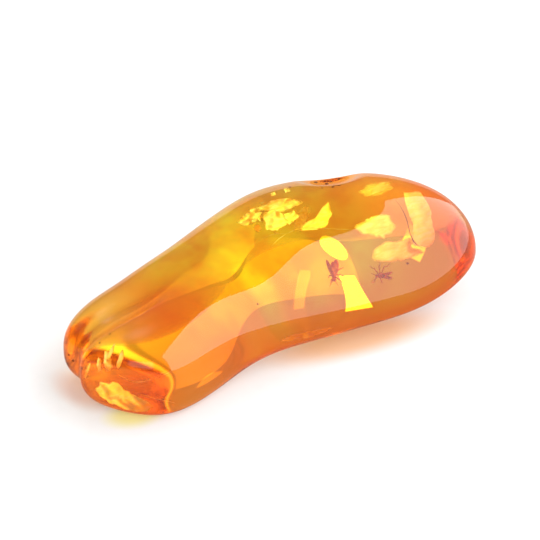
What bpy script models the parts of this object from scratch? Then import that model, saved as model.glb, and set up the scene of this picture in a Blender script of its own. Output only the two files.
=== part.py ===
# A polished, free-form amber nugget with two small insects sealed inside it.
# Metres, +Z up. The origin is on the ground under the middle of the stone's box, and +X runs
# along the stone to its thick lobe. The amber is parted level with the insects, so that each
# lies in a pocket between the halves.

import math

import bmesh
import bpy
from mathutils import Euler, Matrix, Vector

MM = 0.001

# The stone before it is ground: its length, and where its middle lies.
STONE_LENGTH = 46.6 * MM
STONE_MIDDLE_X = -0.54 * MM
# Sections at even steps from the thin end to the thick end, in millimetres: the sideways place
# of the middle, the height where the section is widest, half its width there, how far it
# rises above and falls below that height, and how square it is: 2 is a plain ellipse.
SECTIONS = [
    (-3.10, 3.75, 9.20, 6.10, 6.20, 2.4),
    (-3.15, 2.85, 9.10, 6.35, 5.90, 2.9),
    (-1.85, 2.60, 8.30, 6.25, 4.75, 2.9),
    (-0.65, 2.80, 8.15, 6.60, 3.70, 2.25),
    (0.20, 2.60, 9.70, 8.00, 3.25, 1.95),
    (1.05, 2.15, 11.00, 9.20, 2.90, 1.9),
    (-0.05, 2.40, 11.65, 9.30, 2.65, 1.9),
    (-2.30, 3.40, 11.65, 9.25, 2.60, 1.9),
    (-3.95, 4.50, 10.50, 8.10, 2.45, 2.0),
]
# How square the ends are: 2 is a plain ellipse, and more is blunter.
THIN_END_BLUNTNESS = 2.9
THICK_END_BLUNTNESS = 2.65
BLEND_STEEPNESS = 3  # how quickly one gives way to the other about the middle
# The hand-polished surface rises and falls a little: turns per metre along each axis, the
# start of the wave in radians, and its height.
WAVES = [
    ((310, 120, 80), 0.3, 0.10 * MM),
    ((-150, 420, 200), 1.7, 0.07 * MM),
    ((520, -260, 340), 4.0, 0.04 * MM),
]

# The cleft that parts the thin end into two lobes.
CLEFT_DEPTH = 1.6 * MM
CLEFT_FRONT_WIDTH = 1.5 * MM
CLEFT_BACK_WIDTH = 2.0 * MM
CLEFT_STEP = 0.9 * MM  # how far the back lobe stands below the front one
CLEFT_STEP_SOFTNESS = 0.8 * MM
CLEFT_MIDDLE = Vector((-11.5, 0.0, 3.9)) * MM  # what the cleft is pressed towards
CLEFT_LINE_Y = -2.0 * MM
CLEFT_SLANT = 0.06
CLEFT_END_X = -14.0 * MM
# Below this height the cleft dies away to a share of its depth.
CLEFT_LOW_Z = 0.9 * MM
CLEFT_LOW_SOFTNESS = 1.5 * MM
CLEFT_LOW_SHARE = 0.25
CLEFT_FADE = 1.8 * MM

# The natural pit left on the crest of the thick lobe.
PIT_PLACE = Vector((12.1, 4.4, 9.9)) * MM
PIT_REACH = Vector((2.6, 2.7, 2.6)) * MM
PIT_DEPTH = 1.1 * MM
PIT_AXIS = Vector((0.05, 0.30, 0.95))

# Ground faces: the way each looks, a point on it, and how softly its edge is rounded.
CHEEK = (Vector((-0.78, -0.60, -0.12)), Vector((-20.5, -8.2, 3.9)) * MM, 1.5 * MM)
BASE = (Vector((0.0, 0.0, -1.0)), Vector((0.0, 0.0, -0.05)) * MM, 0.35 * MM)

# The mesh of the stone, and the parting of its halves.
STONE_SEGMENTS = 72
STONE_RINGS = 42
PARTING_HEIGHT = 4.8 * MM
PARTING_GAP = 0.3 * MM
BLOCK_REACH = 60 * MM

# The insects: where the middle of each lies, how it is turned, and its pocket's half sizes.
GNAT_PLACE = Vector((10.0, -7.1, 4.8)) * MM
GNAT_TURN = Euler((math.radians(150), math.radians(8), math.radians(150)))
GNAT_POCKET = Vector((1.9, 1.7, 1.5)) * MM
BARKLOUSE_PLACE = Vector((5.8, -4.3, 4.8)) * MM
BARKLOUSE_TURN = Euler((math.radians(20), math.radians(40), math.radians(-120)))
BARKLOUSE_POCKET = Vector((2.0, 1.8, 1.6)) * MM
EYE_DETAIL = (8, 6)
POCKET_SEGMENTS = 20
POCKET_RINGS = 12

AMBER_COLOUR = (0.95, 0.38, 0.03, 1.0)
GNAT_COLOUR = (0.10, 0.035, 0.012, 1.0)
BARKLOUSE_COLOUR = (0.42, 0.06, 0.015, 1.0)


def clear_scene():
    for obj in list(bpy.data.objects):
        bpy.data.objects.remove(obj, do_unlink=True)


def new_collection(name, helper=False):
    collection = bpy.data.collections.new(name)
    bpy.context.scene.collection.children.link(collection)
    collection.hide_render = helper
    return collection


def new_object(name, mesh, collection, helper=False):
    obj = bpy.data.objects.new(name, mesh)
    collection.objects.link(obj)
    if helper:
        obj.hide_render = True
        obj.display_type = "WIRE"
    return obj


def mesh_of(name, bm):
    mesh = bpy.data.meshes.new(name)
    bm.to_mesh(mesh)
    bm.free()
    mesh.shade_smooth()
    return mesh


def material(name, colour, roughness, transmission=0.0, ior=1.5):
    made = bpy.data.materials.new(name)
    made.use_nodes = True
    shader = made.node_tree.nodes["Principled BSDF"]
    shader.inputs["Base Color"].default_value = colour
    shader.inputs["Roughness"].default_value = roughness
    shader.inputs["Metallic"].default_value = 0.0
    shader.inputs["Transmission Weight"].default_value = transmission
    shader.inputs["IOR"].default_value = ior
    made.diffuse_color = colour
    return made


def add_boolean(obj, other, operation):
    modifier = obj.modifiers.new(other.name, "BOOLEAN")
    modifier.operation = operation
    modifier.solver = "EXACT"
    modifier.object = other


# ---- the stone's shape


def rise(value):
    """A smooth step from 0 to 1 around zero."""
    return 1 / (1 + math.exp(-value))


def section_value(column, share):
    """A smooth curve over the sections' values, read at a share of the length."""
    values = [section[column] for section in SECTIONS]
    padded = [2 * values[0] - values[1], *values, 2 * values[-1] - values[-2]]
    place = min(max(share, 0.0), 1.0) * (len(values) - 1)
    first = min(int(place), len(values) - 2)
    t = place - first
    weights = (
        (1 - t) ** 3,
        3 * t**3 - 6 * t**2 + 4,
        -3 * t**3 + 3 * t**2 + 3 * t + 1,
        t**3,
    )
    return sum(w * v for w, v in zip(weights, padded[first : first + 4])) / 6


def press_cleft(point):
    """Draws the thin end's skin in along the cleft, and lowers the lobe behind it."""
    line = CLEFT_LINE_Y + CLEFT_SLANT * (point.x + STONE_LENGTH / 2)
    off = point.y - line
    width = CLEFT_FRONT_WIDTH if off < 0 else CLEFT_BACK_WIDTH
    fade = rise((CLEFT_END_X - point.x) / CLEFT_FADE)
    depth = CLEFT_DEPTH * math.exp(-((off / width) ** 2))
    depth += CLEFT_STEP * rise(off / CLEFT_STEP_SOFTNESS)
    high = rise((point.z - CLEFT_LOW_Z) / CLEFT_LOW_SOFTNESS)
    depth *= fade * (CLEFT_LOW_SHARE + (1 - CLEFT_LOW_SHARE) * high)
    inwards = CLEFT_MIDDLE - point
    inwards.y = 0
    return point + inwards.normalized() * depth


def press_pit(point):
    away = point - PIT_PLACE
    reach = sum((a / b) ** 2 for a, b in zip(away, PIT_REACH))
    return point - PIT_AXIS.normalized() * (PIT_DEPTH * math.exp(-reach * reach))


def grind(point, face):
    """Moves a point that stands past a ground face back to it, with a soft edge."""
    outwards, on_face, softness = face
    outwards = outwards.normalized()
    past = (point - on_face).dot(outwards) / softness
    cut = past if past > 30 else math.log1p(math.exp(past))
    return point - outwards * (cut * softness)


def stone_point(direction):
    """The point of the polished surface for a direction out from the stone's middle."""
    along = max(-1.0, min(1.0, direction.x))
    ring = math.sqrt(1 - along * along)
    sideways = math.hypot(direction.y, direction.z)
    turn_y = direction.y / sideways if sideways > 1e-9 else 0.0
    turn_z = direction.z / sideways if sideways > 1e-9 else 0.0
    thick = 0.5 + 0.5 * math.tanh(BLEND_STEEPNESS * along)
    blunt = THIN_END_BLUNTNESS * (1 - thick) + THICK_END_BLUNTNESS * thick
    swell = (abs(along) ** blunt + ring**blunt) ** (-1 / blunt)
    share = (along * swell + 1) / 2
    side, widest, half_width, above, below, square = [
        section_value(column, share) for column in range(6)
    ]
    corner = abs(turn_y) ** square + abs(turn_z) ** square if sideways > 1e-9 else 1.0
    reach = ring * swell * corner ** (-1 / square)
    point = Vector(
        (
            along * swell * STONE_LENGTH / 2 + STONE_MIDDLE_X,
            (side + half_width * reach * turn_y) * MM,
            (widest + (above if turn_z > 0 else below) * reach * turn_z) * MM,
        )
    )
    for turns, start, height in WAVES:
        lift = height * math.sin(point.dot(Vector(turns)) + start)
        point += Vector((0, turn_y, turn_z)) * lift
    point = press_pit(press_cleft(point))
    point = grind(grind(point, CHEEK), BASE)
    point.z = max(point.z, 0.0)
    return point


def stone_mesh():
    bm = bmesh.new()
    bmesh.ops.create_uvsphere(
        bm, u_segments=STONE_SEGMENTS, v_segments=STONE_RINGS, radius=1
    )
    bmesh.ops.rotate(bm, verts=bm.verts, matrix=Matrix.Rotation(math.radians(90), 3, "Y"))
    for vert in bm.verts:
        vert.co = stone_point(vert.co.normalized())
    return mesh_of("stone", bm)


# ---- the insects, each drawn with its head towards +X and its back towards +Z


def ball(name, centre, half_sizes, collection, turn=(0, 0, 0), detail=(12, 8)):
    """A rounded body: a sphere scaled to its half sizes, in millimetres."""
    bm = bmesh.new()
    bmesh.ops.create_uvsphere(bm, u_segments=detail[0], v_segments=detail[1], radius=1)
    bmesh.ops.scale(bm, verts=bm.verts, vec=Vector(half_sizes) * MM)
    turned = Euler([math.radians(angle) for angle in turn]).to_matrix()
    bmesh.ops.rotate(bm, verts=bm.verts, matrix=turned)
    bmesh.ops.translate(bm, verts=bm.verts, vec=Vector(centre) * MM)
    return new_object(name, mesh_of(name, bm), collection, helper=True)


def limb(name, points, collection, sides=1):
    """A jointed leg, feeler or tapering body: x, y, z and radius at each joint, in mm."""
    curve = bpy.data.curves.new(name, "CURVE")
    curve.dimensions = "3D"
    curve.bevel_depth = MM
    curve.bevel_resolution = sides
    curve.use_fill_caps = True
    spline = curve.splines.new("POLY")
    spline.points.add(len(points) - 1)
    for joint, (x, y, z, radius) in zip(spline.points, points):
        joint.co = (x * MM, y * MM, z * MM, 1)
        joint.radius = radius
    drawn = new_object(name, curve, collection, helper=True)
    bpy.context.view_layer.update()
    graph = bpy.context.evaluated_depsgraph_get()
    mesh = bpy.data.meshes.new_from_object(drawn.evaluated_get(graph))
    bm = bmesh.new()
    bm.from_mesh(mesh)
    bmesh.ops.remove_doubles(bm, verts=bm.verts, dist=0.001 * MM)
    bmesh.ops.recalc_face_normals(bm, faces=bm.faces)
    bm.to_mesh(mesh)
    bm.free()
    solid = new_object(name + "_solid", mesh, collection, helper=True)
    solid.matrix_world = drawn.matrix_world
    bpy.data.objects.remove(drawn, do_unlink=True)
    bpy.data.curves.remove(curve)
    return solid


def both_sides(points):
    """The same limb on the right side and on the left."""
    return [[(x, side * y, z, r) for x, y, z, r in points] for side in (1, -1)]


def fuse(name, body, others, place, turn, surface, collection):
    """Joins an insect's parts in one solid and lays it in its place."""
    for other in others:
        add_boolean(body, other, "UNION")
    bpy.context.view_layer.update()
    graph = bpy.context.evaluated_depsgraph_get()
    mesh = bpy.data.meshes.new_from_object(body.evaluated_get(graph))
    mesh.name = name
    mesh.shade_smooth()
    for helper in [body, *others]:
        bpy.data.objects.remove(helper, do_unlink=True)
    insect = new_object(name, mesh, collection)
    insect.location = place
    insect.rotation_euler = turn
    mesh.materials.clear()
    mesh.materials.append(surface)
    return insect


GNAT_LEGS = [
    [(0.18, 0.08, -0.10, 0.050), (0.50, 0.52, -0.62, 0.050), (0.72, 0.70, -0.20, 0.038),
     (0.98, 0.82, -0.62, 0.026)],
    [(0.02, 0.10, -0.12, 0.052), (-0.05, 0.66, -0.72, 0.052), (-0.12, 0.90, -0.22, 0.038),
     (-0.20, 1.05, -0.78, 0.026)],
    [(-0.14, 0.08, -0.10, 0.055), (-0.58, 0.50, -0.72, 0.055), (-0.90, 0.70, -0.20, 0.040),
     (-1.28, 0.82, -0.66, 0.026)],
]
GNAT_FEELER = [(0.46, 0.05, 0.02, 0.034), (0.66, 0.22, 0.16, 0.030), (0.96, 0.40, 0.14, 0.022)]
GNAT_ABDOMEN = [(-0.10, 0, 0.02, 0.13), (-0.40, 0, 0.02, 0.17), (-0.75, 0, -0.05, 0.16),
                (-1.05, 0, -0.16, 0.12), (-1.30, 0, -0.30, 0.05)]


def make_gnat(collection, helpers):
    """A slender long-legged midge with narrow wings folded back."""
    surface = material("insect_dark", GNAT_COLOUR, 0.5)
    thorax = ball("gnat_thorax", (0, 0, 0.02), (0.32, 0.25, 0.28), helpers)
    parts = [
        ball("gnat_head", (0.40, 0, -0.03), (0.15, 0.15, 0.16), helpers),
        limb("gnat_abdomen", GNAT_ABDOMEN, helpers, sides=2),
    ]
    for points in [*GNAT_LEGS, GNAT_FEELER]:
        for side in both_sides(points):
            parts.append(limb("gnat_limb", side, helpers))
    for side in (1, -1):
        parts.append(
            ball("gnat_eye", (0.45, side * 0.10, 0.02), (0.08, 0.08, 0.10), helpers,
                 detail=EYE_DETAIL)
        )
        parts.append(
            ball("gnat_wing", (-0.56, side * 0.17, 0.25), (0.66, 0.12, 0.028), helpers,
                 turn=(side * 14, 6, side * -9))
        )
    return fuse("gnat", thorax, parts, GNAT_PLACE, GNAT_TURN, surface, collection)


BARKLOUSE_LEGS = [
    [(0.30, 0.10, -0.14, 0.055), (0.55, 0.52, -0.34, 0.055), (0.78, 0.72, -0.66, 0.035)],
    [(0.12, 0.12, -0.16, 0.055), (0.14, 0.68, -0.34, 0.055), (0.22, 0.95, -0.72, 0.035)],
    [(-0.06, 0.12, -0.14, 0.060), (-0.36, 0.62, -0.26, 0.060), (-0.58, 0.92, -0.68, 0.035)],
]
BARKLOUSE_FEELER = [(0.66, 0.08, 0.06, 0.036), (0.92, 0.30, 0.22, 0.030),
                    (1.18, 0.52, 0.18, 0.022)]
BARKLOUSE_ABDOMEN = [(0.0, 0, 0.0, 0.20), (-0.35, 0, -0.02, 0.27), (-0.70, 0, -0.05, 0.24),
                     (-1.00, 0, -0.08, 0.10)]


def make_barklouse(collection, helpers):
    """A plump winged insect whose wings slope like a roof over its body."""
    surface = material("insect_red", BARKLOUSE_COLOUR, 0.45)
    thorax = ball("barklouse_thorax", (0.18, 0, 0.04), (0.32, 0.27, 0.28), helpers)
    parts = [
        ball("barklouse_head", (0.56, 0, 0.0), (0.20, 0.25, 0.22), helpers),
        limb("barklouse_abdomen", BARKLOUSE_ABDOMEN, helpers, sides=3),
    ]
    for points in [*BARKLOUSE_LEGS, BARKLOUSE_FEELER]:
        for side in both_sides(points):
            parts.append(limb("barklouse_limb", side, helpers))
    for side in (1, -1):
        parts.append(
            ball("barklouse_eye", (0.62, side * 0.19, 0.05), (0.10, 0.10, 0.11), helpers,
                 detail=EYE_DETAIL)
        )
        parts.append(
            ball("barklouse_wing", (-0.42, side * 0.33, 0.14), (0.78, 0.36, 0.035), helpers,
                 turn=(side * -36, 4, side * -20), detail=(16, 8))
        )
    return fuse("barklouse", thorax, parts, BARKLOUSE_PLACE, BARKLOUSE_TURN, surface,
                collection)


# ---- the parted amber


def pocket(name, place, half_sizes, helpers):
    bm = bmesh.new()
    bmesh.ops.create_uvsphere(
        bm, u_segments=POCKET_SEGMENTS, v_segments=POCKET_RINGS, radius=1
    )
    bmesh.ops.scale(bm, verts=bm.verts, vec=half_sizes)
    bmesh.ops.translate(bm, verts=bm.verts, vec=place)
    return new_object(name, mesh_of(name, bm), helpers, helper=True)


def block(name, low_z, high_z, helpers):
    """A box wider than the stone, between two heights."""
    bm = bmesh.new()
    bmesh.ops.create_cube(bm, size=1)
    bmesh.ops.scale(bm, verts=bm.verts, vec=(BLOCK_REACH, BLOCK_REACH, high_z - low_z))
    bmesh.ops.translate(bm, verts=bm.verts, vec=(0, 0, (low_z + high_z) / 2))
    return new_object(name, mesh_of(name, bm), helpers, helper=True)


def make_amber(collection, helpers):
    surface = material("amber", AMBER_COLOUR, 0.02, transmission=1.0, ior=1.54)
    pockets = [
        pocket("gnat_pocket", GNAT_PLACE, GNAT_POCKET, helpers),
        pocket("barklouse_pocket", BARKLOUSE_PLACE, BARKLOUSE_POCKET, helpers),
    ]
    half_gap = PARTING_GAP / 2
    below = block("block_below", -BLOCK_REACH, PARTING_HEIGHT + half_gap, helpers)
    above = block("block_above", PARTING_HEIGHT - half_gap, BLOCK_REACH, helpers)
    stone = stone_mesh()
    stone.materials.append(surface)
    for name, cutter in (("amber_upper", below), ("amber_lower", above)):
        half = new_object(name, stone, collection)
        for other in [cutter, *pockets]:
            add_boolean(half, other, "DIFFERENCE")


def main():
    clear_scene()
    collection = new_collection("insect_in_amber")
    helpers = new_collection("cutters", helper=True)
    make_amber(collection, helpers)
    make_gnat(collection, helpers)
    make_barklouse(collection, helpers)


main()
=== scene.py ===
import math
import random

import bmesh
import bpy
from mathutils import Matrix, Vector, noise
from mathutils.bvhtree import BVHTree


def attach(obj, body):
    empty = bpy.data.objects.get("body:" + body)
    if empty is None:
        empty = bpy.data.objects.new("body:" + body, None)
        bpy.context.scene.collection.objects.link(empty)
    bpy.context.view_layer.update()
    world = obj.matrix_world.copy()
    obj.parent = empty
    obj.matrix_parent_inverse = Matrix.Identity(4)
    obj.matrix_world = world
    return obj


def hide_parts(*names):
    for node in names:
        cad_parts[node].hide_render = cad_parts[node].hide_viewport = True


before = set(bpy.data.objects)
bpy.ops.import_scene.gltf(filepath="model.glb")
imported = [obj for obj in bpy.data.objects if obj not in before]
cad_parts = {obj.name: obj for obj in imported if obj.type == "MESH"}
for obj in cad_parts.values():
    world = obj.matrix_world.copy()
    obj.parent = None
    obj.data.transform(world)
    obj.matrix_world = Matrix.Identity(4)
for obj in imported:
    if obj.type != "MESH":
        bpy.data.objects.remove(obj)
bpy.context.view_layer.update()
mm = 0.001
sceneNow = bpy.context.scene
print("frame loaded:", sorted(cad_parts))


def direction(azimuth, elevation):
    # azimuth from -Y, the stone's front, towards +X
    az, el = math.radians(azimuth), math.radians(elevation)
    return Vector((math.sin(az) * math.cos(el), -math.cos(az) * math.cos(el), math.sin(el)))


def placeObject(name, bm, finish, smooth=True):
    mesh = bpy.data.meshes.new(name)
    bm.to_mesh(mesh)
    bm.free()
    if smooth:
        mesh.shade_smooth()
    mesh.materials.append(finish)
    piece = bpy.data.objects.new(name, mesh)
    sceneNow.collection.objects.link(piece)
    return piece


class Channel:
    # one shader socket, with which sums and products read as plain Python
    def __init__(self, tree, socket):
        self.tree = tree
        self.socket = socket

    def math(self, operation, *terms, clamp=False):
        inputs = {index: term for index, term in enumerate(terms or (self,))}
        settings = {"operation": operation, "use_clamp": clamp}
        return self.tree.add("ShaderNodeMath", settings, inputs)

    def __add__(self, other):
        return self.math("ADD", self, other)

    def __radd__(self, other):
        return self.math("ADD", other, self)

    def __sub__(self, other):
        return self.math("SUBTRACT", self, other)

    def __rsub__(self, other):
        return self.math("SUBTRACT", other, self)

    def __mul__(self, other):
        return self.math("MULTIPLY", self, other)

    def __rmul__(self, other):
        return self.math("MULTIPLY", other, self)

    def clamped(self):
        return self.math("ADD", self, 0.0, clamp=True)

    def between(self, low, high):
        # 0 below low, 1 above high, smooth in between
        settings = {"interpolation_type": "SMOOTHSTEP"}
        inputs = {"Value": self, "From Min": low, "From Max": high}
        return self.tree.add("ShaderNodeMapRange", settings, inputs)


class NodeBench:
    # lays nodes in a tree and joins them
    def __init__(self, tree):
        self.nodes = tree.nodes
        self.links = tree.links

    def feed(self, node, inputs):
        for name, value in inputs.items():
            if isinstance(value, Channel):
                self.links.new(value.socket, node.inputs[name])
            else:
                node.inputs[name].default_value = value

    def add(self, kind, settings=None, inputs=None, output=0):
        node = self.nodes.new(kind)
        for name, value in (settings or {}).items():
            setattr(node, name, value)
        self.feed(node, inputs or {})
        return Channel(self, node.outputs[output])

    def coordinates(self):
        return self.add("ShaderNodeTexCoord", output="Object")

    def mixColour(self, share, first, second):
        inputs = {"Factor": share, 6: first, 7: second}
        return self.add("ShaderNodeMix", {"data_type": "RGBA"}, inputs, output=2)

    def tinted(self, share, colour, tint):
        inputs = {"Factor": share, 6: colour, 7: (*tint, 1)}
        settings = {"data_type": "RGBA", "blend_type": "MULTIPLY"}
        return self.add("ShaderNodeMix", settings, inputs, output=2)

    def mirrored(self):
        # 1 on the rays that a polished skin mirrors, 0 on those that pass through it
        through = self.add("ShaderNodeLightPath", output="Is Transmission Ray")
        return self.add("ShaderNodeLightPath", output="Is Glossy Ray") * (1 - through)

    def noise(self, where, scale, detail=3.0, roughness=0.5):
        inputs = {"Vector": where, "Scale": scale, "Detail": detail, "Roughness": roughness}
        return self.add("ShaderNodeTexNoise", None, inputs)


class Finish(NodeBench):
    # a material under construction
    def __init__(self, name):
        self.made = bpy.data.materials.new(name)
        self.made.use_nodes = True
        super().__init__(self.made.node_tree)
        self.shader = self.nodes["Principled BSDF"]
        self.output = self.nodes["Material Output"]


# the stage: camera, floor and studio light

cameraView = {
    "azimuth": -34,
    "elevation": 35,
    "distance": 0.25,
    "frameWidth": 0.055,
    "sensor": 36,
    "nearClip": 0.01,
    "aim": (0.55, -1.34, 3.40),  # in millimetres
    # the last shift of the aim, in pixels of the frame
    "pixel": 0.055 / 540,
    "pixelsRight": 2,
    "pixelsUp": 20,
}


def makeCamera(view):
    back = direction(view["azimuth"], view["elevation"])
    right = direction(view["azimuth"] + 90, 0)
    up = back.cross(right)
    aim = Vector(view["aim"]) * mm
    aim += right * (view["pixelsRight"] * view["pixel"])
    aim += up * (view["pixelsUp"] * view["pixel"])
    data = bpy.data.cameras.new("camera")
    data.sensor_width = view["sensor"]
    data.lens = view["sensor"] * view["distance"] / view["frameWidth"]
    data.clip_start = view["nearClip"]
    camera = bpy.data.objects.new("camera", data)
    camera.location = aim + back * view["distance"]
    camera.rotation_euler = (-back).to_track_quat("-Z", "Y").to_euler()
    sceneNow.collection.objects.link(camera)
    sceneNow.camera = camera


studio = {
    "floorSize": 3.0,
    "floorDrop": 0.1 * mm,  # a film of air under the stone
    "floorRoughness": 0.7,
    "floorSpecular": 0.1,
    "floorColour": (0.55, 0.55, 0.55, 1),
    "floorGrain": (0.58, 0.58, 0.58, 1),
    "grainScale": 900,
    # the paper glows as on a light table, and more for what is seen through the stone
    "floorGlow": (0.27, 0.27, 0.27, 1),
    "glowThroughStone": (0.46, 0.46, 0.46, 1),
    # painted light and shadow: the coloured light and the shade that the stone throws, painted on
    # the paper's colour and glow: middle, reach, turn, tint
    "paintedLightAndShadow": {
        "front": ((5.8, -9.2), (12.3, 3.7), -11, (1.0, 0.64, 0.40)),
        "thin_end": ((-19.2, -7.3), (3.8, 2.6), -15, (1.0, 0.94, 0.42)),
        "left_end": ((-21.4, -1.2), (2.9, 5.0), 8, (0.92, 0.72, 0.66)),
    },
    "paintedFade": (0.3, 1.0),  # where the fade starts and ends, as shares of the reach
    "sky": (0.85, 0.85, 0.85, 1),
    # what the polish mirrors of the room, and of the shaded paper close to the stone
    "mirroredSky": (0.15, 0.15, 0.15, 1),
    "mirroredPaper": (0.42, 0.33, 0.27, 1),
    "mirroredGlow": (0.13, 0.10, 0.08, 1),
    # each soft light: azimuth and elevation of its middle, distance, width, height, radiance
    "lights": {
        "side_softbox": (62, 48.8, 0.53, 1.02, 0.80, 2.7),
        "back_panel": (144, 46, 0.50, 0.30, 0.24, 0.62),
        "back_window_high": (163, 57, 0.45, 0.080, 0.125, 6.0),
        "back_window_low": (160.8, 32, 0.45, 0.042, 0.135, 6.0),
        "back_window_pale": (148, 35.5, 0.46, 0.020, 0.110, 0.74),
        "front_window": (-38, 26, 0.42, 0.22, 0.22, 1.4),
        "back_window_left": (-150, 44, 0.45, 0.22, 0.105, 2.4),
    },
    "uprightLights": ("side_softbox",),
    "roundLights": ("back_window_high",),
    "glossyLights": ("side_softbox", "front_window"),  # only these are mirrored by the polish
    "bounces": 24,
    "glossyBounces": 12,
}


def makeFloor(stage):
    finish = Finish("studio_paper")
    where = finish.coordinates()
    grain = finish.noise(where, stage["grainScale"], detail=2.0)
    through = finish.add("ShaderNodeLightPath", output="Is Transmission Ray")
    paper = finish.mixColour(grain, stage["floorColour"], stage["floorGrain"])
    glow = finish.mixColour(through, stage["floorGlow"], stage["glowThroughStone"])
    # painted light and shadow: each patch tints the paper's colour, and its glow except where it
    # is seen through the stone
    for middle, reach, turn, tint in stage["paintedLightAndShadow"].values():
        placed = finish.add("ShaderNodeMapping", {"vector_type": "TEXTURE"}, {
            "Vector": where,
            "Location": (middle[0] * mm, middle[1] * mm, 0),
            "Rotation": (0, 0, math.radians(turn)),
            "Scale": (reach[0] * mm, reach[1] * mm, 1),
        })
        off = finish.add("ShaderNodeVectorMath", {"operation": "LENGTH"}, {0: placed},
                         output="Value")
        share = 1 - off.between(*stage["paintedFade"])
        paper = finish.tinted(share, paper, tint)
        glow = finish.tinted(share * (1 - through), glow, tint)
    mirrored = finish.mirrored()
    paper = finish.mixColour(mirrored, paper, stage["mirroredPaper"])
    glow = finish.mixColour(mirrored, glow, stage["mirroredGlow"])
    finish.feed(finish.shader, {
        "Base Color": paper,
        "Roughness": stage["floorRoughness"],
        "Specular IOR Level": stage["floorSpecular"],
        "Emission Color": glow,
        "Emission Strength": 1.0,
    })
    bm = bmesh.new()
    bmesh.ops.create_grid(bm, x_segments=1, y_segments=1, size=stage["floorSize"] / 2)
    bmesh.ops.translate(bm, verts=bm.verts, vec=(0, 0, -stage["floorDrop"]))
    floor = placeObject("floor", bm, finish.made, smooth=False)


def makeSky(stage):
    world = bpy.data.worlds.new("studio_air")
    world.use_nodes = True
    background = world.node_tree.nodes["Background"]
    bench = NodeBench(world.node_tree)
    bench.feed(background, {
        "Color": bench.mixColour(bench.mirrored(), stage["sky"], stage["mirroredSky"]),
        "Strength": 1.0,
    })
    sceneNow.world = world


def makeSoftLight(name, azimuth, elevation, distance, width, height, radiance):
    data = bpy.data.lights.new(name, "AREA")
    isRound = name in studio["roundLights"]
    data.shape = "ELLIPSE" if isRound else "RECTANGLE"
    data.size = width
    data.size_y = height
    area = width * height * (math.pi / 4 if isRound else 1)
    data.energy = radiance * math.pi * area
    light = bpy.data.objects.new(name, data)
    outwards = direction(azimuth, elevation)
    light.location = outwards * distance
    if name in studio["uprightLights"]:
        outwards = direction(azimuth, 0)
    light.rotation_euler = outwards.to_track_quat("Z", "Y").to_euler()
    light.visible_camera = False
    light.visible_glossy = name in studio["glossyLights"]
    sceneNow.collection.objects.link(light)


sceneNow.view_settings.view_transform = "Standard"
sceneNow.cycles.max_bounces = studio["bounces"]
sceneNow.cycles.transmission_bounces = studio["bounces"]
sceneNow.cycles.glossy_bounces = studio["glossyBounces"]
makeCamera(cameraView)
makeFloor(studio)
makeSky(studio)
for name, values in studio["lights"].items():
    makeSoftLight(name, *values)
print("stage ready")


# the polished stone

stone = {
    "length": 46.6 * mm,
    "middleX": -0.54 * mm,
    # at even steps from the thin end to the thick end, in millimetres: sideways place, height
    # of the widest line, half width there, rise above it, fall below it, and squareness
    "sections": [
        (-3.10, 3.75, 9.20, 6.10, 6.20, 2.4),
        (-3.15, 2.85, 9.10, 6.35, 5.90, 2.9),
        (-1.85, 2.60, 8.30, 6.25, 4.75, 2.9),
        (-0.65, 2.80, 8.15, 6.60, 3.70, 2.25),
        (0.20, 2.60, 9.70, 8.00, 3.25, 1.95),
        (1.05, 2.15, 11.00, 9.20, 2.90, 1.9),
        (-0.05, 2.40, 11.65, 9.30, 2.65, 1.9),
        (-2.30, 3.40, 11.65, 9.25, 2.60, 1.9),
        (-3.95, 4.50, 10.50, 8.10, 2.45, 2.0),
    ],
    "thinBluntness": 2.9,
    "thickBluntness": 2.65,
    "blendSteepness": 3,
    # hand-polished waves: turns per metre along each axis, start, height
    "waves": [
        ((310, 120, 80), 0.3, 0.10 * mm),
        ((-150, 420, 200), 1.7, 0.07 * mm),
        ((520, -260, 340), 4.0, 0.04 * mm),
    ],
    "cheek": (Vector((-0.78, -0.60, -0.12)), Vector((-20.5, -8.2, 3.9)) * mm, 1.5 * mm),
    "base": (Vector((0.0, 0.0, -1.0)), Vector((0.0, 0.0, -0.05)) * mm, 0.35 * mm),
    "cuts": 95,
}
cleft = {
    "depth": 1.6 * mm,
    "frontWidth": 1.5 * mm,
    "backWidth": 2.0 * mm,
    "step": 0.9 * mm,
    "stepSoftness": 0.8 * mm,
    "middle": Vector((-11.5, 0.0, 3.9)) * mm,
    "lineY": -2.0 * mm,
    "slant": 0.06,
    "endX": -14.0 * mm,
    "fade": 1.8 * mm,
    "lowZ": 0.9 * mm,
    "lowSoftness": 1.5 * mm,
    "lowShare": 0.25,
}
pit = {
    "place": Vector((12.1, 4.4, 9.9)) * mm,
    "reach": Vector((2.6, 2.7, 2.6)) * mm,
    "depth": 1.1 * mm,
    "axis": Vector((0.05, 0.30, 0.95)).normalized(),
}


wellPast = 30  # softnesses past a ground face, where its edge no longer counts


def rise(value):
    return 1 / (1 + math.exp(-value))


def sectionValues(share):
    # all the values of the sections at a share of the length, on a smooth curve
    rows = stone["sections"]
    # each end runs on straight, so that the curve reaches it
    first = [2 * a - b for a, b in zip(rows[0], rows[1])]
    last = [2 * a - b for a, b in zip(rows[-1], rows[-2])]
    padded = [first, *rows, last]
    place = min(max(share, 0.0), 1.0) * (len(rows) - 1)
    start = min(int(place), len(rows) - 2)
    t = place - start
    weights = ((1 - t) ** 3, 3 * t**3 - 6 * t**2 + 4, -3 * t**3 + 3 * t**2 + 3 * t + 1, t**3)
    return [
        sum(w * row[column] for w, row in zip(weights, padded[start:start + 4])) / 6
        for column in range(6)
    ]


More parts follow.
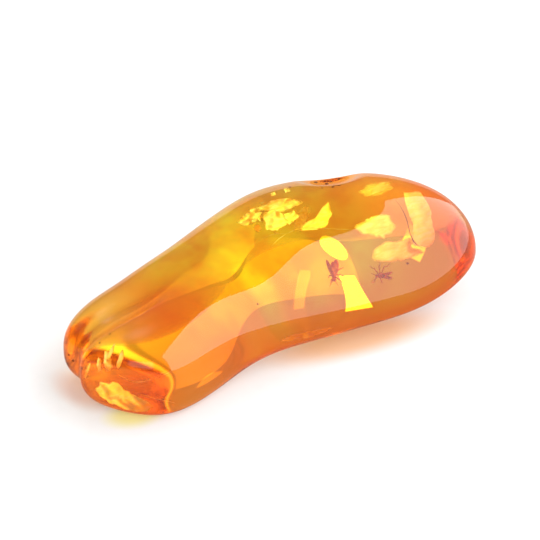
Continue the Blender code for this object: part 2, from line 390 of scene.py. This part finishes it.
def pressCleft(point):
    line = cleft["lineY"] + cleft["slant"] * (point.x + stone["length"] / 2)
    off = point.y - line
    width = cleft["frontWidth"] if off < 0 else cleft["backWidth"]
    fade = rise((cleft["endX"] - point.x) / cleft["fade"])
    depth = cleft["depth"] * math.exp(-((off / width) ** 2))
    depth += cleft["step"] * rise(off / cleft["stepSoftness"])
    high = rise((point.z - cleft["lowZ"]) / cleft["lowSoftness"])
    depth *= fade * (cleft["lowShare"] + (1 - cleft["lowShare"]) * high)
    inwards = cleft["middle"] - point
    inwards.y = 0
    return point + inwards.normalized() * depth


def pressPit(point):
    away = point - pit["place"]
    reach = sum((a / b) ** 2 for a, b in zip(away, pit["reach"]))
    return point - pit["axis"] * (pit["depth"] * math.exp(-reach * reach))


def grind(point, face):
    outwards, onFace, softness = face
    outwards = outwards.normalized()
    past = (point - onFace).dot(outwards) / softness
    cut = past if past > wellPast else math.log1p(math.exp(past))
    return point - outwards * (cut * softness)


def stonePoint(heading):
    # the skin's point for a heading out from the stone's middle
    along = max(-1.0, min(1.0, heading.x))
    ring = math.sqrt(1 - along * along)
    sideways = math.hypot(heading.y, heading.z)
    turnY = heading.y / sideways if sideways > 1e-9 else 0.0
    turnZ = heading.z / sideways if sideways > 1e-9 else 0.0
    thick = 0.5 + 0.5 * math.tanh(stone["blendSteepness"] * along)
    blunt = stone["thinBluntness"] * (1 - thick) + stone["thickBluntness"] * thick
    swell = (abs(along) ** blunt + ring**blunt) ** (-1 / blunt)
    side, widest, halfWidth, above, below, square = sectionValues((along * swell + 1) / 2)
    corner = abs(turnY) ** square + abs(turnZ) ** square if sideways > 1e-9 else 1.0
    reach = ring * swell * corner ** (-1 / square)
    tall = above if turnZ > 0 else below
    point = Vector((
        along * swell * stone["length"] / 2 + stone["middleX"],
        (side + halfWidth * reach * turnY) * mm,
        (widest + tall * reach * turnZ) * mm,
    ))
    for turns, start, height in stone["waves"]:
        point += Vector((0, turnY, turnZ)) * (height * math.sin(point.dot(Vector(turns)) + start))
    point = pressPit(pressCleft(point))
    point = grind(grind(point, stone["cheek"]), stone["base"])
    point.z = max(point.z, 0.0)
    return point


amberLook = {
    "ior": 1.54,
    # partly the amber's own tone, partly painted light and shade: the skin is golden along the
    # back, a painted light on the crest, the back and the base, and redder at the two ends and low
    # on the flanks, a painted shade
    "skin": (0.88, 0.52, 0.10, 1),
    "skinCloud": (0.93, 0.86, 0.15, 1),
    "skinRedAndShade": (0.86, 0.22, 0.08, 1),
    "middleX": 2 * mm,
    "middleReach": (5.5 * mm, 18 * mm),
    "flankReach": (4.5 * mm, 9.0 * mm),
    "baseReach": (0.2 * mm, 1.6 * mm),
    "cloudScale": 160,
    "cloudDrift": 14 * mm,
    "crestDrift": 4 * mm,
    # how much sooner the red, partly painted shade, starts towards the front, and how much later
    # high up
    "frontShare": 0.6,
    "heightShare": 0.9,
    "middleZ": 6 * mm,
    "wispScale": 330,
    "wispShare": 0.4,  # of wisps in the golden cloud, the rest is the larger clouds
    "cloudEdges": (0.38, 0.62),
    "goldenLevel": (0.55, 0.8),  # least gold, and what the wisps add to it
    # painted light: the skin of the thin end is lighter
    "skinNoseLit": (0.94, 0.64, 0.24, 1),
    "noseReach": (-20.5 * mm, -9.0 * mm),
    "noseSlant": 0.7,
    # painted shade: the thick lobe's skin is deep red, less on its crest
    "skinLobeShade": (0.87, 0.17, 0.06, 1),
    "lobeReach": (13 * mm, 23 * mm),
    "lobeCrown": 0.6,  # the share of that red which the crest doesn't have
    # the two tips had less polish than the rest
    "tipReach": (17.5 * mm, 21.5 * mm),
    "thinTipReach": (-18.5 * mm, -13.5 * mm),
    "tipRoughness": 0.14,
    "pitPaintedSheen": (0.96, 0.62, 0.42, 1),  # the pit's floor was never polished; its pale pink is a painted reflection
    "pitReach": (1.1 * mm, 2.3 * mm),
    "pitRaggedness": 1.2 * mm,
    "pitScale": 1500,
    "pitRoughness": 0.5,
    "absorbed": (0.973, 0.88, 0.0, 1),
    "density": 150,
}


def amberFinish(look):
    finish = Finish("polished_amber")
    where = finish.coordinates()
    clouds = finish.noise(where, look["cloudScale"])
    along = finish.add("ShaderNodeSeparateXYZ", None, {"Vector": where}, output="X")
    back = finish.add("ShaderNodeSeparateXYZ", None, {"Vector": where}, output="Y")
    high = finish.add("ShaderNodeSeparateXYZ", None, {"Vector": where}, output="Z")
    away = (along - look["middleX"]).math("ABSOLUTE") + look["cloudDrift"] * (clouds - 0.5)
    away = away - look["frontShare"] * back - look["heightShare"] * (high - look["middleZ"])
    # golden: painted light on the crest, the back and the base, over the amber's own clouds;
    # elsewhere the redder skin, partly painted shade
    golden = 1 - away.between(*look["middleReach"])
    crest = (high + look["crestDrift"] * (clouds - 0.5)).between(*look["flankReach"])
    base = 1 - high.between(*look["baseReach"])
    golden = golden * (crest + base)
    wisps = finish.noise(where, look["wispScale"], detail=2.0)
    billows = (1 - look["wispShare"]) * clouds + look["wispShare"] * wisps
    inside = finish.mixColour(billows.between(*look["cloudEdges"]), look["skin"],
                              look["skinCloud"])
    least, added = look["goldenLevel"]
    golden = golden * (least + added * wisps)
    fromPit = finish.add("ShaderNodeVectorMath", {"operation": "DISTANCE"},
                         {0: where, 1: tuple(pit["place"])}, output="Value")
    crumbs = finish.noise(where, look["pitScale"], detail=2.0)
    ragged = look["pitRaggedness"] * (crumbs - 0.5)
    # the unpolished pit: its roughness is real, its pale pink colour is a painted reflection
    rough = 1 - (fromPit + ragged).between(*look["pitReach"])
    # painted light: lighter skin at the thin end
    nose = 1 - (along - look["noseSlant"] * back).between(*look["noseReach"])
    lobe = along.between(*look["lobeReach"]) * (1 - look["lobeCrown"] * crest)
    outer = finish.mixColour(nose, look["skinRedAndShade"], look["skinNoseLit"])
    outer = finish.mixColour(lobe, outer, look["skinLobeShade"])
    polished = finish.mixColour(golden, outer, inside)
    tips = along.between(*look["tipReach"]) + 1 - along.between(*look["thinTipReach"])
    finish.feed(finish.shader, {
        "Base Color": finish.mixColour(rough, polished, look["pitPaintedSheen"]),
        "Roughness": rough * look["pitRoughness"] + tips * look["tipRoughness"],
        "Transmission Weight": 1.0,
        "IOR": look["ior"],
    })
    volume = finish.add("ShaderNodeVolumeAbsorption", None,
                        {"Color": look["absorbed"], "Density": look["density"]})
    finish.feed(finish.output, {"Volume": volume})
    return finish.made


def makeStone():
    bm = bmesh.new()
    bmesh.ops.create_cube(bm, size=2)
    bmesh.ops.subdivide_edges(bm, edges=bm.edges[:], cuts=stone["cuts"], use_grid_fill=True)
    for vert in bm.verts:
        # even spacing over the sphere before the stone's own shape
        even = Vector([math.tan(value * math.pi / 4) for value in vert.co])
        vert.co = stonePoint(even.normalized())
    bmesh.ops.recalc_face_normals(bm, faces=bm.faces[:])
    return bm


stoneForm = makeStone()
stoneSkin = BVHTree.FromBMesh(stoneForm)
amber = placeObject("clear_amber", stoneForm, amberFinish(amberLook))
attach(amber, "root")
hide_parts("amber_upper", "amber_lower")
print("stone ready")


# thin cracks inside the stone, which glint

# each has its middle, the way it faces, an outline in its own plane (right, up), unevenness
# and how much it covers
cracks = {
    "left_crumple": ((-19.0, -5.6, 1.7), (-0.26, -0.62, 0.74), (
        (-2.7, 0.5), (-1.9, 1.6), (-0.3, 1.8), (0.5, 0.8), (1.7, 0.2), (2.7, -0.8),
        (2.4, -1.4), (0.3, -1.7), (-1.1, -1.2), (-2.2, -0.4)), 0.10, 3.5),
    "left_stroke_a": ((-20.1, -5.2, 6.3), (-0.03, -0.43, 0.90), (
        (0.4, 1.0), (0.2, 0.1), (-0.2, -0.7), (-0.4, -0.5), (-0.1, 0.3)), 0.06, 4.0),
    "left_stroke_b": ((-20.6, -5.4, 5.9), (-0.08, -0.50, 0.86), (
        (-0.3, 0.8), (0.2, 0.6), (0.5, -0.5), (-0.2, -1.1), (-0.4, -0.2)), 0.06, 4.0),
    "left_stroke_c": ((-21.1, -4.8, 5.4), (-0.12, -0.53, 0.84), (
        (-0.1, 0.6), (0.2, 0.4), (0.2, -0.6), (-0.2, -0.8), (-0.3, 0.0)), 0.06, 4.0),
    "left_stroke_d": ((-19.7, -6.2, 6.1), (-0.04, -0.48, 0.88), (
        (0.2, 0.9), (0.3, 0.2), (-0.2, -1.0), (-0.4, -0.6), (-0.1, 0.4)), 0.06, 4.0),
    "left_streak": ((-21.6, -3.5, 4.3), (-0.18, -0.53, 0.83), (
        (0.4, 0.8), (0.5, 0.6), (-0.4, -1.1), (-0.6, -1.0), (-0.2, -0.1)), 0.06, 4.0),
    "crest_triangle": ((6.7, -0.9, 8.5), (0.03, -0.41, 0.91), (
        (1.1, 2.3), (1.7, 1.1), (0.8, -0.8), (-1.7, -1.8), (-1.8, -1.0), (-0.1, 0.2)), 0.06, 2.6),
    "crest_leaf": ((5.2, -0.4, 9.1), (0.20, -0.62, 0.76), (
        (-1.2, -1.9), (-0.7, 0.1), (0.3, 1.5), (1.2, 1.9), (0.8, 0.1), (-0.2, -1.6)), 0.1, 0.35),
    "lobe_tall": ((15.8, -5.8, 8.2), (0.03, -0.45, 0.89), (
        (-1.5, 3.2), (0.5, 4.1), (1.5, 1.0), (1.7, -2.5), (0.6, -3.2), (-0.8, -2.3),
        (-0.5, -0.6), (-1.2, 1.3)), 0.04, 3.2),
    "lobe_pale": ((11.6, -4.1, 8.0), (0.02, -0.45, 0.89), (
        (-2.5, -0.5), (-0.5, 1.0), (1.7, 1.7), (2.0, 0.1), (0.9, -1.1), (-1.5, -1.1)), 0.03, 0.75),
    "lobe_gold": ((12.4, -7.0, 6.6), (0.01, -0.49, 0.87), (
        (-3.2, -1.7), (-2.9, -0.5), (-1.4, 0.6), (1.1, 1.6), (1.6, 0.8), (3.1, 0.6),
        (2.1, -0.2), (-0.3, -1.2)), 0.05, 0.95),
    "hump_glow": ((14.2, -0.9, 9.6), (0.04, -0.37, 0.93), (
        (-1.9, -0.6), (-0.8, 0.7), (1.3, 1.4), (2.1, 0.6), (0.4, -0.7), (-1.1, -1.2)), 0.03, 0.3),
    "crest_spangle_a": ((2.5, 0.3, 9.7), (0.02, -0.37, 0.93), (
        (-1.1, 0.8), (-0.4, 1.5), (0.7, 1.0), (1.3, -0.2), (0.2, -1.5), (-0.8, -1.3)), 0.12, 3.0),
    "crest_spangle_b": ((4.1, -0.1, 9.5), (0.03, -0.38, 0.92), (
        (-0.6, 0.4), (0.4, 1.0), (0.9, 0.3), (0.0, -0.8), (-0.7, -0.8)), 0.10, 2.2),
    "crest_spangle_c": ((2.2, 2.7, 9.2), (0.0, -0.32, 0.95), (
        (-0.8, 0.4), (0.5, 0.9), (0.9, 0.1), (0.1, -0.8), (-0.7, -0.4)), 0.12, 1.4),
    "crest_spangle_d": ((4.4, 1.9, 9.8), (0.03, -0.33, 0.94), (
        (-2.4, -0.4), (-0.8, 0.9), (1.1, 1.3), (2.1, 0.6), (0.9, -0.6), (-0.9, -1.3)), 0.10, 0.9),
    "crest_spangle_e": ((1.0, 2.2, 9.2), (0.0, -0.32, 0.95), (
        (-1.4, -0.4), (-0.3, 1.0), (1.2, 1.0), (0.9, -0.3), (-0.5, -1.1)), 0.12, 1.2),
    "crest_bit_a": ((6.5, 3.9, 10.0), (0.05, -0.26, 0.96), (
        (-0.4, 0.4), (0.2, 0.6), (0.4, -0.2), (-0.2, -0.6)), 0.1, 1.5),
    "crest_bit_b": ((5.0, 4.2, 10.0), (0.03, -0.26, 0.96), (
        (-0.3, 0.3), (0.2, 0.5), (0.3, -0.3), (-0.2, -0.4)), 0.1, 1.5),
    "waist_glint": ((0.1, -8.3, 2.5), (0.02, -0.62, 0.78), (
        (-3.4, -1.2), (-1.7, -0.3), (0.7, 0.5), (2.6, 1.3), (2.9, 0.9), (0.6, -0.2),
        (-1.6, -1.0)), 0.1, 2.2),
}
# small spangles strewn around the large ones under the crest
strewn = {
    "seed": 11,
    "count": 16,
    "middle": (2.4, 1.2, 9.3),
    "reach": (2.6, 2.2, 0.5),
    "scatter": 0.45,
    "size": (0.15, 0.55),
    "corners": 6,
    "cornerReach": (0.6, 1.2),
    "facing": (0, -0.35, 0.93),
    "tilt": 0.35,
    "unevenness": 0.1,
    "cover": (0.7, 1.6),
}
# hair cracks: the points that each runs through, half thickness, how much it covers
hairCracks = {
    "crest_long": (((-3.1, -1.2, 8.6), (0.7, -1.2, 9.4), (2.5, -1.8, 9.4), (4.2, -2.0, 9.5),
                    (8.1, -3.8, 9.0), (11.5, -5.2, 8.5)), 0.035, 0.8),
    "crest_short": (((0.2, -2.4, 9.1), (1.4, -2.0, 9.3), (2.6, -1.8, 9.4)), 0.035, 1.0),
    "left_hair_high": (((-20.5, -6.8, 5.2), (-19.4, -8.0, 4.6), (-18.1, -8.9, 4.9),
                        (-16.4, -9.6, 5.4)), 0.05, 0.9),
    "left_hair_low": (((-19.4, -7.9, 3.2), (-18.1, -9.0, 2.8), (-16.0, -9.8, 1.7)), 0.04, 0.9),
}
crackForm = {
    "thickness": 0.04 * mm,
    "margin": 0.10 * mm,  # the least amber over a crack
    "right": 56,  # degrees from the stone's front, the way an outline's right points
    "around": 48,
    "across": 20,
    "raggedTurns": 3,
    "ragged": 0.22,
    "swell": 1.04,
    "rimFade": 2.5,  # how fast the cover grows from the rim inwards
    "waveTurns": 1.3,
}
hairForm = {"steps": 8, "sides": 10, "taper": 3}
crackLook = {
    "pale": (1.0, 0.99, 0.80, 1),
    "deep": (1.0, 0.90, 0.40, 1),
    "streakTurn": (0, 0, 0.5),
    "streakStretch": (0.45, 1.6, 1.0),
    "streakScale": 1500,
    "streakEdges": (0.40, 0.62),
    "streakDepth": 0.06 * mm,
    "streakStrength": 0.10,
    "cover": (0.55, 0.9),  # least cover, and what the streaks add
    "grainScale": 5200,
    "roughness": (0.22, 0.2),  # least, and what the grain adds
    "metallic": 0.85,
}


def crackFinish(look):
    finish = Finish("crack_glint")
    where = finish.coordinates()
    stretched = finish.add("ShaderNodeMapping", None, {
        "Vector": where,
        "Rotation": look["streakTurn"],
        "Scale": look["streakStretch"],
    })
    streaks = finish.noise(stretched, look["streakScale"], roughness=0.6)
    grain = finish.noise(where, look["grainScale"], detail=2.0)
    cover = finish.add("ShaderNodeAttribute", {"attribute_name": "cover"}, output="Fac")
    bump = finish.add("ShaderNodeBump", None, {
        "Strength": look["streakStrength"],
        "Distance": look["streakDepth"],
        "Height": streaks,
    })
    leastCover, addedCover = look["cover"]
    leastRough, addedRough = look["roughness"]
    finish.feed(finish.shader, {
        "Alpha": (cover * (leastCover + addedCover * streaks)).clamped(),
        "Base Color": finish.mixColour(streaks.between(*look["streakEdges"]), look["deep"],
                                       look["pale"]),
        "Roughness": leastRough + addedRough * grain,
        "Metallic": look["metallic"],
        "Normal": bump,
    })
    return finish.made


def rimReach(outline, angle):
    # how far the outline lies from the middle at an angle
    ray = Vector((math.cos(angle), math.sin(angle)))
    reach = 0.0
    for start, end in zip(outline, outline[1:] + outline[:1]):
        a, b = Vector(start), Vector(end)
        side = b - a
        across = ray.x * side.y - ray.y * side.x
        if abs(across) < 1e-9:
            continue
        along = (a.x * side.y - a.y * side.x) / across
        share = (a.x * ray.y - a.y * ray.x) / across
        if along > 0 and -1e-6 <= share <= 1 + 1e-6:
            reach = max(reach, along)
    return reach


def addCrack(bm, middle, facing, outline, unevenness, cover):
    # a closed lens, thin as paper, pulled out to its outline
    coverLayer = bm.verts.layers.float["cover"]
    facing = Vector(facing).normalized()
    right = direction(crackForm["right"], 0)
    right = (right - facing * right.dot(facing)).normalized()
    up = facing.cross(right)
    made = bmesh.ops.create_uvsphere(
        bm, u_segments=crackForm["around"], v_segments=crackForm["across"], radius=1)
    turns, waveTurns = crackForm["raggedTurns"], crackForm["waveTurns"]
    reaches = {}
    for vert in made["verts"]:
        x, y, z = vert.co
        angle = round(math.atan2(y, x), 5)
        if angle not in reaches:
            reaches[angle] = rimReach(outline, angle)
        ragged = noise.noise(
            Vector((turns * math.cos(angle), turns * math.sin(angle), middle[0])))
        out = math.hypot(x, y) * reaches[angle]
        out *= crackForm["swell"] + crackForm["ragged"] * ragged
        vert[coverLayer] = cover * min(1.0, crackForm["rimFade"] * z * z)
        flat = Vector((math.cos(angle), math.sin(angle))) * out
        wave = noise.noise(Vector((flat.x * waveTurns, flat.y * waveTurns, middle[0])))
        height = wave * unevenness * mm + z * crackForm["thickness"] / 2
        vert.co = Vector(middle) * mm + (right * flat.x + up * flat.y) * mm + facing * height


def addHair(bm, points, radius, cover=1.0):
    # a thread on a smooth curve through the points, pointed at both ends
    coverLayer = bm.verts.layers.float.get("cover")
    rows = [Vector(point) * mm for point in points]
    rows = [2 * rows[0] - rows[1], *rows, 2 * rows[-1] - rows[-2]]
    steps = hairForm["steps"]
    centres = []
    for before, start, end, after in zip(rows, rows[1:], rows[2:], rows[3:]):
        for step in range(steps):
            t = step / steps
            bend = (end - before) * t + (2 * before - 5 * start + 4 * end - after) * t**2
            bend += (3 * start - before - 3 * end + after) * t**3
            centres.append(start + bend / 2)
    centres.append(rows[-2])
    last = len(centres) - 1
    made = bmesh.ops.create_uvsphere(
        bm, u_segments=hairForm["sides"], v_segments=last, radius=1)
    for vert in made["verts"]:
        row = round(math.acos(max(-1.0, min(1.0, vert.co.z))) / math.pi * last)
        ahead = (centres[min(row + 1, last)] - centres[max(row - 1, 0)]).normalized()
        side = ahead.orthogonal().normalized()
        around = Vector((vert.co.x, vert.co.y))
        if around.length > 1e-6:
            around.normalize()
        width = radius * mm * min(1.0, hairForm["taper"] * min(row, last - row) / last)
        vert.co = centres[row] + (side * around.x + ahead.cross(side) * around.y) * width
        if coverLayer:
            vert[coverLayer] = cover
    return made["verts"]


def tuckUnderSkin(verts, margin):
    # whatever lies too near the skin moves under it
    for vert in verts:
        onSkin, outwards, _, _ = stoneSkin.find_nearest(vert.co)
        if (vert.co - onSkin).dot(outwards) > -margin:
            vert.co = onSkin - outwards * margin


def makeCracks():
    bm = bmesh.new()
    bm.verts.layers.float.new("cover")
    for values in cracks.values():
        addCrack(bm, *values)
    chance = random.Random(strewn["seed"])
    for _ in range(strewn["count"]):
        middle = [m + r * chance.gauss(0, strewn["scatter"])
                  for m, r in zip(strewn["middle"], strewn["reach"])]
        size = chance.uniform(*strewn["size"])
        turns = [corner * math.tau / strewn["corners"] for corner in range(strewn["corners"])]
        outline = tuple(
            (size * chance.uniform(*strewn["cornerReach"]) * math.cos(turn),
             size * chance.uniform(*strewn["cornerReach"]) * math.sin(turn))
            for turn in turns)
        sideways, frontwards, upwards = strewn["facing"]
        facing = (sideways + chance.gauss(0, strewn["tilt"]),
                  frontwards + chance.gauss(0, strewn["tilt"]), upwards)
        addCrack(bm, middle, facing, outline, strewn["unevenness"],
                 chance.uniform(*strewn["cover"]))
    for points, radius, cover in hairCracks.values():
        addHair(bm, points, radius, cover)
    tuckUnderSkin(bm.verts, crackForm["margin"])
    bmesh.ops.recalc_face_normals(bm, faces=bm.faces[:])
    return bm


glints = placeObject("inner_cracks", makeCracks(), crackFinish(crackLook))
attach(glints, "root")
print("cracks ready")


# specks of bark and dust, in the cleft, in the pit and inside

# cracks whose walls are stained dark: the points that each runs through, half thickness
darkHairs = {
    "lobe_line": (((14.8, -2.7, 9.8), (14.9, -4.1, 9.4), (14.6, -5.6, 8.8), (14.1, -7.0, 7.9),
                   (14.3, -7.9, 7.2), (15.1, -8.5, 6.7)), 0.045),
    "pit_squiggle_a": (((9.6, 1.5, 11.0), (10.1, 1.0, 11.1), (10.5, 1.3, 11.0), (11.0, 0.9, 11.0),
                        (11.5, 1.2, 10.9)), 0.05),
}

specks = {
    # middle, size
    "cleft_end_a": ((-22.06, -0.03, 3.85), 0.13),
    "cleft_end_b": ((-21.96, -0.59, 3.41), 0.16),
    "cleft_end_c": ((-22.45, -3.55, 4.65), 0.12),
    "cleft_a": ((-21.90, -4.25, 6.60), 0.10),
    "cleft_b": ((-20.80, -4.10, 7.28), 0.08),
    "cleft_c": ((-19.50, -3.80, 7.62), 0.10),
    "cleft_d": ((-18.30, -3.35, 7.68), 0.07),
    "waist_dot": ((-4.60, -7.10, 7.15), 0.09),
    "crest_dot": ((7.16, 4.40, 10.38), 0.14),
    "pit_a": ((10.20, 1.10, 11.08), 0.13),
    "pit_b": ((10.90, 1.00, 11.02), 0.10),
    "pit_c": ((9.25, 1.62, 11.02), 0.09),
    "pit_d": ((12.70, 5.70, 8.15), 0.18),
    "pit_e": ((13.30, 5.80, 8.15), 0.14),
    "pit_f": ((11.90, 6.50, 8.30), 0.16),
    "lobe_fleck": ((12.6, -8.4, 6.0), 0.13),
}
speckLook = {
    "margin": 0.08 * mm,
    "lumpTurns": 9,
    "lumps": 0.8,
    "flatness": 0.6,
    "colours": ((0.17, 0.04, 0.012, 1), (0.38, 0.12, 0.035, 1)),
    "crumbScale": 9000,
    "crumbEdges": (0.35, 0.65),
    "roughness": (0.6, 0.3),  # least, and what the crumbs add
}


def makeSpecks(look):
    bm = bmesh.new()
    for middle, size in specks.values():
        middle = Vector(middle)
        onSkin, outwards, _, _ = stoneSkin.find_nearest(middle * mm)
        if (middle * mm - onSkin).dot(outwards) > -look["margin"]:
            middle = (onSkin - outwards * look["margin"]) / mm
        made = bmesh.ops.create_icosphere(bm, subdivisions=3, radius=size * mm)
        for vert in made["verts"]:
            lumps = noise.noise(vert.co / mm * look["lumpTurns"] + middle)
            vert.co *= 1 + look["lumps"] * lumps
            vert.co.z *= look["flatness"]
            vert.co += middle * mm
    for points, radius in darkHairs.values():
        tuckUnderSkin(addHair(bm, points, radius), radius * mm)
    bmesh.ops.recalc_face_normals(bm, faces=bm.faces[:])
    return bm


def speckFinish(look):
    finish = Finish("bark_speck")
    crumbs = finish.noise(finish.coordinates(), look["crumbScale"])
    least, added = look["roughness"]
    finish.feed(finish.shader, {
        "Base Color": finish.mixColour(crumbs.between(*look["crumbEdges"]), *look["colours"]),
        "Roughness": least + added * crumbs,
    })
    return finish.made


dust = placeObject("bark_specks", makeSpecks(speckLook), speckFinish(speckLook))
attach(dust, "root")
print("specks ready")


# the insects keep their solids and get their own finishes

chitin = {
    "blotchScale": 2600,
    "blotchEdges": (0.35, 0.7),
    "poreScale": 12000,
    "poreRoughness": 0.25,
    "poreStrength": 0.4,
    "poreDepth": 0.02 * mm,
}
insectLook = {
    "gnat": {"dark": (0.42, 0.08, 0.025, 1), "light": (0.80, 0.26, 0.08, 1), "gloss": 0.5},
    "barklouse": {"dark": (0.70, 0.07, 0.025, 1), "light": (0.98, 0.32, 0.10, 1), "gloss": 0.5},
}


def insectFinish(name, look):
    finish = Finish(name + "_chitin")
    where = finish.coordinates()
    blotches = finish.noise(where, chitin["blotchScale"], detail=4.0, roughness=0.6)
    pores = finish.noise(where, chitin["poreScale"], detail=2.0)
    bump = finish.add("ShaderNodeBump", None, {
        "Strength": chitin["poreStrength"],
        "Distance": chitin["poreDepth"],
        "Height": pores,
    })
    finish.feed(finish.shader, {
        "Base Color": finish.mixColour(blotches.between(*chitin["blotchEdges"]), look["dark"],
                                       look["light"]),
        "Roughness": look["gloss"] + chitin["poreRoughness"] * pores,
        "Normal": bump,
    })
    return finish.made


for name, look in insectLook.items():
    node = bpy.data.objects[name]
    finish = insectFinish(name, look)
    for slot in node.material_slots:
        slot.material = finish
print("insects ready")
